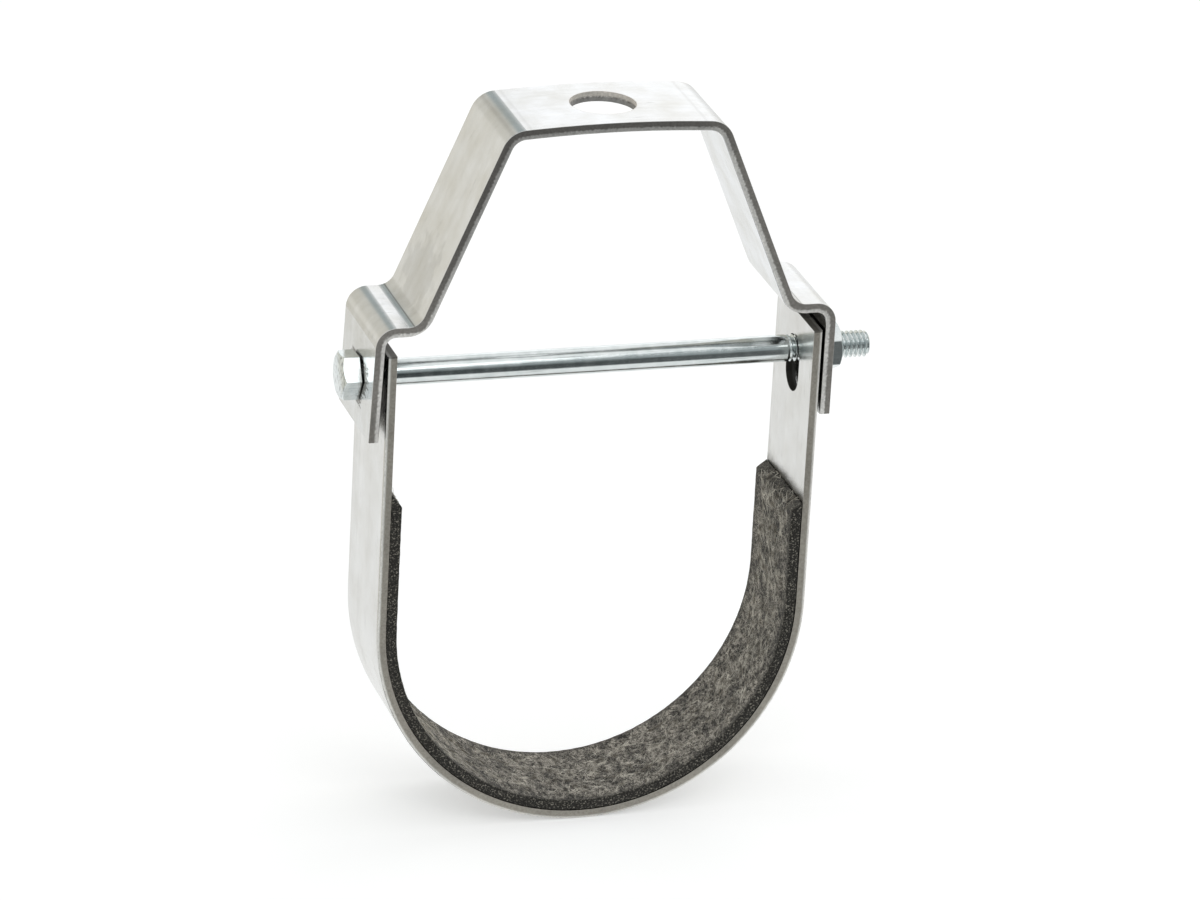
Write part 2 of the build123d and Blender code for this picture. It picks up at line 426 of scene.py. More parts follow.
def saddle_marks_and_shade(tree, place, depth):
    """Where the saddle is darkened: painted shade where the yoke's legs cover it, a stain and
    painted shadow over the felt's ends, streaks.
    """
    x, y, z = place
    outer = add(tree, "Math", depth, 0.3 * mm, operation="LESS_THAN")
    # Painted shade on the outer face where the yoke's legs cover it, full from 8 mm below the bolt
    # upwards
    soil_and_shade = add(tree, "MapRange", z, interpolation_type="SMOOTHSTEP", sockets={
        "From Min": BOLT_Z - 15 * mm, "From Max": BOLT_Z - 8 * mm, "To Max": 0.9})
    soil_and_shade = add(tree, "Math", soil_and_shade, outer, operation="MULTIPLY")
    # Partly a stain from the glue and the felt's dust, partly a painted shadow of the felt's ends:
    # the steel is darkened for 4 mm above each end of the felt
    at = add(tree, "CombineXYZ", x, y, z)
    blot = add(tree, "TexNoise", sockets={"Vector": at, "Scale": 600.0, "Detail": 3.0})
    side = add(tree, "Math", x, 0.0, operation="LESS_THAN")
    left_top, right_top = FELT_ENDS[0][0], FELT_ENDS[1][0]
    end = add(tree, "Math", side, left_top - right_top, PIPE_Z + right_top,
              operation="MULTIPLY_ADD")
    above = add(tree, "Math", z, end, operation="SUBTRACT")
    above = add(tree, "Math", blot, 3.5 * mm, above, operation="MULTIPLY_ADD")
    stain_and_shadow = add(tree, "MapRange", above, interpolation_type="SMOOTHSTEP", sockets={
        "From Min": 6.2 * mm, "From Max": 0.8 * mm, "To Max": 0.85})
    inner = add(tree, "Math", depth, 0.8 * SADDLE_THICKNESS, operation="GREATER_THAN")
    stain_and_shadow = add(tree, "Math", stain_and_shadow, inner, operation="MULTIPLY")
    soil_and_shade = add(tree, "Math", soil_and_shade, stain_and_shadow, operation="MAXIMUM")
    # Thin dark streaks 10 mm long, where the strip slid through the press
    slid = add(tree, "Mapping", at, sockets={"Scale": (60, 700, 60)})
    slid = add(tree, "TexNoise", sockets={
        "Vector": slid, "Scale": 1.0, "Detail": 5.0, "Roughness": 0.75})
    streaks = add(tree, "MapRange", slid, sockets={
        "From Min": 0.6, "From Max": 0.74, "To Max": 0.4})
    return add(tree, "Math", soil_and_shade, streaks, operation="MAXIMUM")


def yoke_shade(tree, place):
    """How much darker the yoke's cuts are: darker on the plate and left flank, less on the right
    flank, not at all on the legs.

    The punch left the upper half of the rod hole brighter than bare steel.
    """
    x, y, z = place
    high = add(tree, "MapRange", z, sockets={
        "From Min": SHELF_TOP - 1 * mm, "From Max": SHELF_TOP + 25 * mm, "To Max": 0.5})
    left = add(tree, "MapRange", x, sockets={
        "From Min": 38 * mm, "From Max": 24 * mm, "To Min": 0.25})
    darkening = add(tree, "Math", high, left, operation="MULTIPLY")
    punched = add(tree, "MapRange", z, sockets={
        "From Min": -0.3 * mm, "From Max": 0.3 * mm, "To Min": 0.6, "To Max": -1.6})
    return add(tree, "Mix", on_rod_hole(tree, x, y), data_type="FLOAT",
               sockets={2: darkening, 3: punched})


def saddle_shade(tree, place):
    """Painted shade on the saddle's cuts: black in the slots and on the tops of its legs, where
    they lie deep in shade.
    """
    x, y, z = place
    middle = add(tree, "Math", y, operation="ABSOLUTE")
    middle = add(tree, "Math", middle, SLOT_WIDTH / 2 + 0.5 * mm, operation="LESS_THAN")
    high = add(tree, "Math", z, PIPE_Z, operation="GREATER_THAN")
    slot_shade = add(tree, "Math", middle, high, operation="MULTIPLY")
    slot_shade = add(tree, "Math", slot_shade, 0.86, operation="MULTIPLY")
    top_shade = add(tree, "Math", z, SADDLE_TOP - 0.4 * mm, operation="GREATER_THAN")
    top_shade = add(tree, "Math", top_shade, 0.6, operation="MULTIPLY")
    return add(tree, "Math", slot_shade, top_shade, operation="MAXIMUM")


def galvanised_strip(name, form_of, marks_and_shade_of, shade_of, zinc_tones, cut_tones, band_depth):
    """Mill-galvanised steel strip, slit by a shear and cold bent.

    The zinc gives the eye a pale satin grey with faint lengthwise roll marks and cloudy
    patches. The cuts show bare steel in two bands, which meet at band_depth: the shear
    burnished one of them pale and tore the other dark.
    """
    pale, dull = zinc_tones
    outer_band, inner_band = cut_tones
    finish, tree, shader, place = new_finish(name)
    own = place.outputs["Object"]
    at = add(tree, "SeparateXYZ", own).outputs
    normal = add(tree, "SeparateXYZ", place.outputs["Normal"]).outputs
    depth, edge = form_of(tree, at, normal)

    # Cloudy zinc, patches about 12 mm across
    cloud = add(tree, "TexNoise", sockets={
        "Vector": own, "Scale": 80.0, "Detail": 5.0, "Roughness": 0.6})
    # Roll marks run along the strip, 2 mm apart and finer, and tens of mm long
    along = add(tree, "Mapping", own, sockets={"Scale": (11, 480, 11)})
    rolled = add(tree, "TexNoise", sockets={
        "Vector": along, "Scale": 1.0, "Detail": 4.0, "Roughness": 0.7})
    # Scratches 1 mm wide and 8 mm long, broken
    scratching = add(tree, "Mapping", own, sockets={
        "Scale": (95, 620, 95), "Location": (0.3, 0.7, 0.1)})
    scratched = add(tree, "TexNoise", sockets={
        "Vector": scratching, "Scale": 1.0, "Detail": 4.0, "Roughness": 0.7})
    scratch = add(tree, "MapRange", scratched, sockets={
        "From Min": 0.65, "From Max": 0.75, "To Max": 0.35})

    tone = add(tree, "MapRange", cloud, sockets={"From Min": 0.35, "From Max": 0.68})
    zinc = add(tree, "Mix", tone, data_type="RGBA", sockets={6: colour(pale), 7: colour(dull)})
    lines = add(tree, "MapRange", rolled, sockets={
        "From Min": 0.3, "From Max": 0.7, "To Min": 0.955, "To Max": 1.025})
    zinc = add(tree, "VectorMath", zinc.outputs[2], operation="SCALE", sockets={"Scale": lines})
    # The soil colour also paints shade: in the yoke's joint, along its bends, round the bolt's
    # head, where the yoke covers the saddle and over the felt's ends
    soil_and_shade = add(tree, "Math", scratch, marks_and_shade_of(tree, at, depth), operation="MAXIMUM")
    zinc = add(tree, "Mix", soil_and_shade, data_type="RGBA", sockets={6: zinc, 7: colour("#4A463C")})

    # Cuts
    slit = add(tree, "MapRange", edge, interpolation_type="SMOOTHSTEP",
               sockets={"From Min": 0.5, "From Max": 0.9})
    grain = add(tree, "TexNoise", sockets={
        "Vector": own, "Scale": 1400.0, "Detail": 3.0, "Roughness": 0.6})
    ragged = add(tree, "Math", grain, 0.9 * mm, -0.45 * mm, operation="MULTIPLY_ADD")
    ragged_depth = add(tree, "Math", depth, ragged, operation="ADD")
    further_in = add(tree, "MapRange", ragged_depth, sockets={
        "From Min": band_depth - 0.2 * mm, "From Max": band_depth + 0.2 * mm})
    grit_and_shade = add(tree, "MapRange", grain, sockets={
        "From Min": 0.3, "From Max": 0.7, "To Min": 0.8, "To Max": 1.2})
    steel = add(tree, "Mix", further_in, data_type="RGBA",
                sockets={6: colour(outer_band), 7: colour(inner_band)})
    patchy = add(tree, "TexNoise", sockets={
        "Vector": own, "Scale": 60.0, "Detail": 3.0, "Roughness": 0.5})
    patchy = add(tree, "MapRange", patchy, sockets={
        "From Min": 0.3, "From Max": 0.7, "To Min": 0.85, "To Max": 1.12})
    grit_and_shade = add(tree, "Math", grit_and_shade, patchy, operation="MULTIPLY")
    # On the saddle this brightness carries painted shade, in its slots and on its legs' tops
    cut_brightness = add(tree, "Math", 1.0, shade_of(tree, at), operation="SUBTRACT")
    grit_and_shade = add(tree, "Math", grit_and_shade, cut_brightness, operation="MULTIPLY")
    steel = add(tree, "VectorMath", steel.outputs[2], operation="SCALE", sockets={"Scale": grit_and_shade})
    skin = add(tree, "Mix", slit, data_type="RGBA", sockets={6: zinc.outputs[2], 7: steel})

    gloss = add(tree, "MapRange", cloud, sockets={
        "From Min": 0.3, "From Max": 0.7, "To Min": 0.17, "To Max": 0.25})
    rough = add(tree, "Mix", slit, data_type="FLOAT", sockets={2: gloss, 3: 0.5})
    metal = add(tree, "MapRange", slit, sockets={"To Min": 1.0, "To Max": 0.35})
    lift = add(tree, "Bump", sockets={"Strength": 0.15, "Distance": 0.01 * mm, "Height": rolled})
    pitted = add(tree, "MapRange", slit, sockets={"To Min": 0.06, "To Max": 0.5})
    pits = add(tree, "Bump", sockets={
        "Strength": pitted, "Distance": 0.05 * mm, "Height": grain, "Normal": lift})
    tree.links.new(skin.outputs[2], shader.inputs["Base Color"])
    tree.links.new(rough.outputs[0], shader.inputs["Roughness"])
    tree.links.new(metal.outputs[0], shader.inputs["Metallic"])
    tree.links.new(pits.outputs[0], shader.inputs["Normal"])
    return finish


def bright_zinc():
    """Bright zinc plating on cold-formed steel: clear, mirror-like, faintly blue.

    The wire was drawn, so fine marks run along the shank and fray the reflections.
    """
    finish, tree, shader, place = new_finish("bright_zinc_plating")
    own = place.outputs["Object"]
    # Draw marks 0.4 mm apart and 25 mm long
    along = add(tree, "Mapping", own, sockets={"Scale": (40, 2500, 2500)})
    drawn = add(tree, "TexNoise", sockets={
        "Vector": along, "Scale": 1.0, "Detail": 4.0, "Roughness": 0.7})
    cloud = add(tree, "TexNoise", sockets={
        "Vector": own, "Scale": 260.0, "Detail": 4.0, "Roughness": 0.6})
    tone = add(tree, "MapRange", cloud, sockets={"From Min": 0.35, "From Max": 0.65})
    skin = add(tree, "Mix", tone, data_type="RGBA",
               sockets={6: colour("#CBD2D2"), 7: colour("#DBE0E0")})
    dull = add(tree, "MapRange", drawn, sockets={
        "From Min": 0.55, "From Max": 0.75, "To Min": 1.0, "To Max": 0.55})
    # The end of the head is duller, with dark blotches 1 mm across
    near_end = -73.8 * mm
    on_end = add(tree, "SeparateXYZ", own).outputs["X"]
    on_end = add(tree, "Math", on_end, near_end, operation="LESS_THAN")
    blotch = add(tree, "TexNoise", sockets={
        "Vector": own, "Scale": 700.0, "Detail": 3.0, "Roughness": 0.6})
    blotch = add(tree, "MapRange", blotch, sockets={
        "From Min": 0.5, "From Max": 0.67, "To Min": 0.02, "To Max": 0.5})
    blotch = add(tree, "Math", blotch, on_end, operation="MULTIPLY")
    bare = add(tree, "Math", 1.0, blotch, operation="SUBTRACT")
    dull = add(tree, "Math", dull, bare, operation="MULTIPLY")
    skin = add(tree, "VectorMath", skin.outputs[2], operation="SCALE", sockets={"Scale": dull})
    gloss = add(tree, "MapRange", cloud, sockets={
        "From Min": 0.3, "From Max": 0.7, "To Min": 0.1, "To Max": 0.2})
    marks = add(tree, "Bump", sockets={"Strength": 0.6, "Distance": 0.02 * mm, "Height": drawn})
    tree.links.new(skin.outputs[0], shader.inputs["Base Color"])
    tree.links.new(gloss.outputs[0], shader.inputs["Roughness"])
    tree.links.new(marks.outputs[0], shader.inputs["Normal"])
    shader.inputs["Metallic"].default_value = 1.0
    return finish


def pressed_felt():
    """Pressed wool felt of mixed dark and pale fibres, die cut.

    Its face is a mottled warm grey of matted fibres; its cut edges look nearly black.
    """
    finish, tree, shader, place = new_finish("pressed_wool_felt")
    laid_flat = place.outputs["UV"]
    # Carding leaves more fibres across the strip than along it
    strip = add(tree, "Mapping", laid_flat, sockets={"Scale": (1.15, 0.72, 1.0)})
    # The fibres wander 1 mm to and fro
    wander = add(tree, "TexNoise", sockets={
        "Vector": strip, "Scale": 0.4, "Detail": 2.0, "Roughness": 0.55})
    wander = add(tree, "VectorMath", wander.outputs["Color"], (2.2, 2.2, 0.0),
                 operation="MULTIPLY")
    curled = add(tree, "VectorMath", strip, wander, operation="ADD")

    def strands(ways, width, share):
        """Long thin wavy lines in the given directions, each in some places only."""
        laid = None
        for degrees in ways:
            turned = add(tree, "Mapping", curled, sockets={
                "Rotation": (0, 0, radians(degrees)), "Location": (degrees, 2 * degrees, 0)})
            drawn = add(tree, "Mapping", turned, sockets={"Scale": (0.7, 2.1, 1.0)})
            field = add(tree, "TexNoise", sockets={
                "Vector": drawn, "Scale": 1.0, "Detail": 1.0, "Roughness": 0.5})
            off = add(tree, "Math", field, -0.5, operation="ADD")
            off = add(tree, "Math", off, operation="ABSOLUTE")
            line = add(tree, "MapRange", off, sockets={"From Min": width, "From Max": 0.3 * width})
            patch = add(tree, "TexNoise", sockets={"Vector": turned, "Scale": 0.6, "Detail": 1.0})
            patch = add(tree, "MapRange", patch, sockets={
                "From Min": 0.62 - share, "From Max": 0.70 - share})
            line = add(tree, "Math", line, patch, operation="MULTIPLY")
            laid = line if laid is None else add(tree, "Math", laid, line, operation="MAXIMUM")
        return laid

    # Strands 0.15 mm wide, which is coarser than wool so that they show
    pale = strands((4, 37, 66, 95, 124, 158), 0.042, 0.11)
    black = strands((21, 52, 83, 141), 0.06, 0.1)
    clump = add(tree, "TexNoise", sockets={
        "Vector": curled, "Scale": 0.16, "Detail": 5.0, "Roughness": 0.6})
    clump = add(tree, "MapRange", clump, sockets={"From Min": 0.4, "From Max": 0.61})
    speckled = add(tree, "Mapping", strip, sockets={"Scale": (1.9, 1.7, 1.0)})
    pepper = add(tree, "TexNoise", sockets={
        "Vector": speckled, "Scale": 1.0, "Detail": 2.0, "Roughness": 0.7})
    pepper = add(tree, "MapRange", pepper, sockets={
        "From Min": 0.36, "From Max": 0.64, "To Min": 0.1, "To Max": 1.7})
    ground = add(tree, "Mix", clump, data_type="RGBA",
                 sockets={6: colour("#1B1814"), 7: colour("#5E5951")})
    ground = add(tree, "VectorMath", ground.outputs[2], operation="SCALE",
                 sockets={"Scale": pepper})
    laid = add(tree, "Math", black, 0.7, operation="MULTIPLY")
    ground = add(tree, "Mix", laid, data_type="RGBA", sockets={6: ground, 7: colour("#211E1A")})
    bright = add(tree, "MapRange", clump, sockets={"To Min": 0.35, "To Max": 1.0})
    bright = add(tree, "Math", bright, pale, operation="MULTIPLY")
    wool = add(tree, "Mix", bright, data_type="RGBA",
               sockets={6: ground.outputs[2], 7: colour("#CFC8BC")})

    # The die leaves the cut edges and ends dense and nearly black, and drags the rims down;
    # painted shade darkens the face towards the rims and the ends, where it rounds off
    facing = add(tree, "SeparateXYZ", place.outputs["Normal"]).outputs["Y"]
    facing = add(tree, "Math", facing, operation="ABSOLUTE")
    cut = add(tree, "MapRange", facing, sockets={
        "From Min": 0.25, "From Max": 0.85, "To Max": 0.97})
    along, across = add(tree, "SeparateXYZ", laid_flat).outputs[:2]
    middle = FELT_LENGTH / mm / 2
    rim = STRAP_WIDTH / mm / 2
    from_end = add(tree, "Math", along, -middle, operation="ADD")
    from_end = add(tree, "Math", from_end, operation="ABSOLUTE")
    near_end = add(tree, "MapRange", from_end, interpolation_type="SMOOTHSTEP",
                   sockets={"From Min": middle - 5.5, "From Max": middle - 0.5, "To Max": 0.75})
    across = add(tree, "Math", across, operation="ABSOLUTE")
    rim_shade = add(tree, "MapRange", across, interpolation_type="SMOOTHSTEP",
                   sockets={"From Min": rim - 2.8, "From Max": rim, "To Max": 0.75})
    # The cut faces' own dark, joined by the painted shade near the ends and the rims
    cut = add(tree, "Math", cut, near_end, operation="MAXIMUM")
    cut = add(tree, "Math", cut, rim_shade, operation="MAXIMUM")
    specks = add(tree, "TexNoise", sockets={
        "Vector": place.outputs["Object"], "Scale": 1900.0, "Detail": 2.0, "Roughness": 0.6})
    specks = add(tree, "MapRange", specks, sockets={"From Min": 0.54, "From Max": 0.68})
    short = add(tree, "Mix", specks, data_type="RGBA",
                sockets={6: colour("#24221E"), 7: colour("#9A958A")})
    wool = add(tree, "Mix", cut, data_type="RGBA",
               sockets={6: wool.outputs[2], 7: short.outputs[2]})
    raised = add(tree, "Math", pale, black, operation="SUBTRACT")
    nap = add(tree, "Bump", sockets={"Strength": 0.6, "Distance": 0.2 * mm, "Height": raised})
    tree.links.new(wool.outputs[2], shader.inputs["Base Color"])
    tree.links.new(nap.outputs[0], shader.inputs["Normal"])
    shader.inputs["Roughness"].default_value = 0.95
    shader.inputs["Specular IOR Level"].default_value = 0.2
    shader.inputs["Sheen Weight"].default_value = 0.1
    shader.inputs["Sheen Roughness"].default_value = 0.6
    return finish


def loose_wool():
    """Single pale wool fibres that stand loose on the felt's face."""
    finish, tree, shader, place = new_finish("loose_wool_fibres")
    mixed = add(tree, "TexNoise", sockets={
        "Vector": place.outputs["Object"], "Scale": 420.0, "Detail": 1.0})
    tone = add(tree, "MapRange", mixed, sockets={"From Min": 0.35, "From Max": 0.65})
    wool = add(tree, "Mix", tone, data_type="RGBA",
               sockets={6: colour("#6E675B"), 7: colour("#E2DCD0")})
    tree.links.new(wool.outputs[2], shader.inputs["Base Color"])
    shader.inputs["Roughness"].default_value = 0.8
    return finish


# Bolt and nut


def around_axis(x, radius, angle):
    """A point of the bolt: the angle is turned up from the front about the bolt's axis."""
    return (x, -radius * cos(angle), BOLT_Z + radius * sin(angle))


def hexagon_radius(angle, turn):
    """From the axis to the hexagon's side, in a direction."""
    from_flat = (angle - turn + pi / 6) % (pi / 3) - pi / 6
    return ACROSS_FLATS / 2 / cos(from_flat)


def ring(x, radius, turn=0.0):
    """A ring of points about the bolt's axis, the first of them turned up from the front."""
    return [around_axis(x, radius, turn + 2 * pi * j / AROUND) for j in range(AROUND)]


def hexagon_ring(x, turn, inward):
    """A ring of points round a hexagon, plain or sloping along its chamfer from its end at x."""
    points = []
    for j in range(AROUND):
        angle = turn + 2 * pi * j / AROUND
        side = hexagon_radius(angle, turn)
        away = inward * (side - CHAMFER_CIRCLE) * CHAMFER_SLOPE
        points.append(around_axis(x + away, side, angle))
    return points


def skin_rings(name, rings, wrapped):
    """A mesh over rings of points along the bolt's axis: wrapped round, or closed by two ends."""
    points = [p for ring in rings for p in ring]
    last = len(rings) if wrapped else len(rings) - 1
    faces = []
    for i in range(last):
        here, there = i * AROUND, (i + 1) % len(rings) * AROUND
        for j in range(AROUND):
            k = (j + 1) % AROUND
            faces.append((here + j, there + j, there + k, here + k))
    if not wrapped:
        faces.append(tuple(range(AROUND)))
        faces.append(tuple(reversed(range(last * AROUND, (last + 1) * AROUND))))
    return new_piece(name, points, faces)


def new_tree(name, inputs):
    """Geometry nodes: a shape, the given inputs and a finish go in, and a shape comes out."""
    tree = bpy.data.node_groups.new(name, "GeometryNodeTree")
    for label, kind in {"Geometry": "Geometry", **inputs, "Finish": "Material"}.items():
        tree.interface.new_socket(name=label, in_out="INPUT", socket_type=f"NodeSocket{kind}")
    tree.interface.new_socket(name="Geometry", in_out="OUTPUT", socket_type="NodeSocketGeometry")
    return tree, add(tree, "NodeGroupInput").outputs


def thread_tree():
    """Geometry nodes that press a 60 degree thread into a round blank or a bored hole."""
    sizes = ("Axis Height", "Major Radius", "Pitch", "Depth", "Start", "Run-out", "Reach")
    tree, given = new_tree("roll_thread", dict.fromkeys(sizes, "Float"))
    place = add(tree, "SeparateXYZ", add(tree, "GeometryNodeInputPosition")).outputs
    up = add(tree, "Math", place["Z"], given["Axis Height"], operation="SUBTRACT")
    flat = add(tree, "CombineXYZ", 0.0, place["Y"], up)
    radius = add(tree, "VectorMath", flat, operation="LENGTH").outputs["Value"]
    angle = add(tree, "Math", up, place["Y"], operation="ARCTAN2")
    turns = add(tree, "Math", angle, 2 * pi, operation="DIVIDE")
    along = add(tree, "Math", place["X"], given["Pitch"], operation="DIVIDE")
    phase = add(tree, "Math", along, turns, operation="SUBTRACT")
    phase = add(tree, "Math", phase, operation="FRACT")
    away = add(tree, "Math", phase, -0.5, operation="ADD")
    away = add(tree, "Math", away, operation="ABSOLUTE")
    # The root is flat for a quarter of the pitch and the crest for an eighth
    groove = add(tree, "MapRange", away, sockets={"From Min": 7 / 16, "From Max": 1 / 8})
    cut_in = add(tree, "Math", place["X"], given["Start"], operation="SUBTRACT")
    cut_in = add(tree, "Math", cut_in, given["Run-out"], operation="DIVIDE", use_clamp=True)
    depth = add(tree, "Math", groove, given["Depth"], operation="MULTIPLY")
    depth = add(tree, "Math", depth, cut_in, operation="MULTIPLY")
    wall = add(tree, "Math", given["Major Radius"], depth, operation="SUBTRACT")
    wall = add(tree, "Math", wall, radius, operation="MINIMUM")
    ratio = add(tree, "Math", wall, radius, operation="DIVIDE")
    moved_up = add(tree, "Math", up, ratio, given["Axis Height"], operation="MULTIPLY_ADD")
    moved_y = add(tree, "Math", place["Y"], ratio, operation="MULTIPLY")
    moved = add(tree, "CombineXYZ", place["X"], moved_y, moved_up)
    # Only the wall of the blank or the hole is rolled, never a hexagon outside it
    near = add(tree, "FunctionNodeCompare", radius, given["Reach"], operation="LESS_THAN",
               data_type="FLOAT")
    beyond = add(tree, "FunctionNodeCompare", place["X"], given["Start"],
                 operation="GREATER_THAN", data_type="FLOAT")
    rolled = add(tree, "FunctionNodeBooleanMath", near, beyond, operation="AND")
    pressed = add(tree, "GeometryNodeSetPosition", given["Geometry"], rolled, moved)
    real = add(tree, "GeometryNodeRealizeInstances", pressed)
    plated = add(tree, "GeometryNodeSetMaterial", real, sockets={"Material": given["Finish"]})
    add(tree, "NodeGroupOutput", plated)
    return tree


def run_tree(piece, tree, **values):
    """Gives a piece a node tree with its inputs set, and turns the result into a plain mesh."""
    modifier = piece.modifiers.new(tree.name, "NODES")
    modifier.node_group = tree
    for item in tree.interface.items_tree:
        key = item.name.replace(" ", "_").replace("-", "_").lower()
        if item.in_out == "INPUT" and key in values:
            modifier[item.identifier] = values[key]
    bake(piece)


def make_bolt(tree, finish):
    """The hexagon-head bolt with its rolled thread, in one closed skin."""
    low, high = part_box("clevis_bolt")
    end, bearing = low.x, low.x + HEAD_HEIGHT
    cone, skirt = hexagon_ring(end, HEAD_TURN, 1), hexagon_ring(bearing, HEAD_TURN, 0)
    rings = [ring(end, CHAMFER_CIRCLE, HEAD_TURN), cone, skirt]
    rings.append(ring(bearing, BOLT_RADIUS, HEAD_TURN))
    shank = [bearing + i * 12 * mm for i in range(1, 11)]
    step = PITCH / ROWS_PER_PITCH
    shoulder = high.x - TIP_CHAMFER
    rows = int((shoulder - THREAD_START) / step)
    shank += [shoulder - i * step for i in range(rows, -1, -1)]
    rings += [ring(x, BOLT_RADIUS, HEAD_TURN) for x in shank]
    tip_rows = 6
    for i in range(1, tip_rows + 1):
        cut = TIP_CHAMFER * i / tip_rows
        rings.append(ring(shoulder + cut, BOLT_RADIUS - cut, HEAD_TURN))
    bolt = skin_rings("clevis_bolt_threaded", rings, wrapped=False)
    soften(bolt, 0.1 * mm)
    run_tree(
        bolt, tree, axis_height=BOLT_Z, major_radius=BOLT_RADIUS, pitch=PITCH,
        depth=THREAD_DEPTH, start=THREAD_START, run_out=RUN_OUT, reach=BOLT_RADIUS + 0.1 * mm,
        finish=finish,
    )
    shade(bolt, 9)
    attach(bolt, "pivot")
    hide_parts("clevis_bolt")


def make_nut(tree, finish):
    """The hexagon nut with its cut thread."""
    low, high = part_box("hex_nut")
    hole = BOLT_RADIUS + THREAD_CLEARANCE
    step = PITCH / ROWS_PER_PITCH
    rows = int((high.x - low.x - 2 * NUT_MOUTH) / step)
    span = (high.x - low.x - 2 * NUT_MOUTH) / rows
    rings = [ring(high.x, CHAMFER_CIRCLE), hexagon_ring(high.x, 0.0, -1)]
    rings += [hexagon_ring(low.x, 0.0, 1), ring(low.x, CHAMFER_CIRCLE)]
    mouth_rows = 3
    mouth = [NUT_MOUTH * i / mouth_rows for i in range(mouth_rows)]
    rings += [ring(low.x + cut, hole + NUT_MOUTH - cut) for cut in mouth]
    rings += [ring(low.x + NUT_MOUTH + i * span, hole) for i in range(rows + 1)]
    rings += [ring(high.x - cut, hole + NUT_MOUTH - cut) for cut in reversed(mouth)]
    nut = skin_rings("hex_nut_threaded", [r[::-1] for r in rings], wrapped=True)
    soften(nut, 0.1 * mm)
    run_tree(
        nut, tree, axis_height=BOLT_Z, major_radius=hole + NUT_MOUTH, pitch=PITCH,
        depth=NUT_THREAD_DEPTH + NUT_MOUTH, start=low.x - RUN_OUT, run_out=0.01 * mm,
        reach=hole + NUT_MOUTH + 0.1 * mm, finish=finish,
    )
    shade(nut, 9)
    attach(nut, "pivot")
    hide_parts("hex_nut")


def soften(piece, width):
    """Rounds a piece's sharp edges a little."""
    bevel = piece.modifiers.new("worn_edges", "BEVEL")
    bevel.width = width
    bevel.segments = 2
    bevel.limit_method = "ANGLE"
    bevel.angle_limit = radians(20)
    bevel.use_clamp_overlap = True
    bake(piece)


def shade(piece, degrees):
    """Smooth shading, with sharp edges left where two faces meet at more than an angle."""
    piece.data.shade_smooth()
    piece.data.set_sharp_from_angle(angle=radians(degrees))


# Felt


def felt_path(share, depth):
    """Where the felt is in X and Z, at a share of its length and of its thickness."""
    (left_top, left_cut), (right_top, right_cut) = FELT_ENDS
    radius = FELT_INSIDE + depth * FELT_THICKNESS
    left = left_top - left_cut * (1 - depth)
    right = right_top - right_cut * (1 - depth)
    middle = FELT_INSIDE + FELT_THICKNESS / 2
    lengths = (left_top, pi * middle, right_top)
    travelled = share * sum(lengths)
    if travelled < lengths[0]:
        return -radius, PIPE_Z + left * (1 - travelled / lengths[0])
    travelled -= lengths[0]
    if travelled < lengths[1]:
        turn = pi * travelled / lengths[1]
        return -radius * cos(turn), PIPE_Z - radius * sin(turn)
    travelled -= lengths[1]
    return radius, PIPE_Z + right * travelled / lengths[2]


def make_felt(finish):
    """The felt strip: a block of fine squares bent into a U, its faces napped."""
    long, wide, thick = FELT_STEPS
    index, points, strip_places = {}, [], []

    def corner(i, j, k):
        """The number of one point of the block, made when first asked for."""
        if (i, j, k) not in index:
            index[i, j, k] = len(points)
            x, z = felt_path(i / long, k / thick)
            y = STRAP_WIDTH * (j / wide - 0.5)
            points.append((x, y, z))
            under = k / thick * FELT_THICKNESS
            strip_places.append(((i / long * FELT_LENGTH + under) / mm, (y + under) / mm))
        return index[i, j, k]

    faces = []
    ahead, aside, down = (1, 0, 0), (0, 1, 0), (0, 0, 1)

    def square(start, first, second, order):
        """One square of the block's skin, between two steps from a corner."""
        steps = ((0, 0), (1, 0), (1, 1), (0, 1))
        quad = [corner(*(a + m * b + n * c for a, b, c in zip(start, first, second)))
                for m, n in steps]
        faces.append(quad[::order])

    for i in range(long):
        for j in range(wide):
            square((i, j, 0), ahead, aside, 1)
            square((i, j, thick), ahead, aside, -1)
        for k in range(thick):
            square((i, 0, k), ahead, down, -1)
            square((i, wide, k), ahead, down, 1)
    for j in range(wide):
        for k in range(thick):
            square((0, j, k), aside, down, 1)
            square((long, j, k), aside, down, -1)
    felt = new_piece("felt_strip", points, faces)
    layer = felt.data.uv_layers.new(name="along_strip")
    for loop in felt.data.loops:
        layer.data[loop.index].uv = strip_places[loop.vertex_index]
    felt.data.materials.append(finish)
    soften(felt, 0.35 * mm)
    nap(felt)
    shade(felt, 80)
    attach(felt, "saddle")
    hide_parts("felt_liner")
    return felt


def nap(felt):
    """Moves the felt's points in by up to 0.15 mm, lumps a few mm across, never out."""
    flat = [(v.co.copy(), v.normal.copy()) for v in felt.data.vertices]
    for vertex, (place, normal) in zip(felt.data.vertices, flat):
        lump = noise.noise(place / (2.2 * mm)) + 0.6 * noise.noise(place / (0.9 * mm))
        vertex.co = place - normal * (0.075 * mm * (1 + lump))


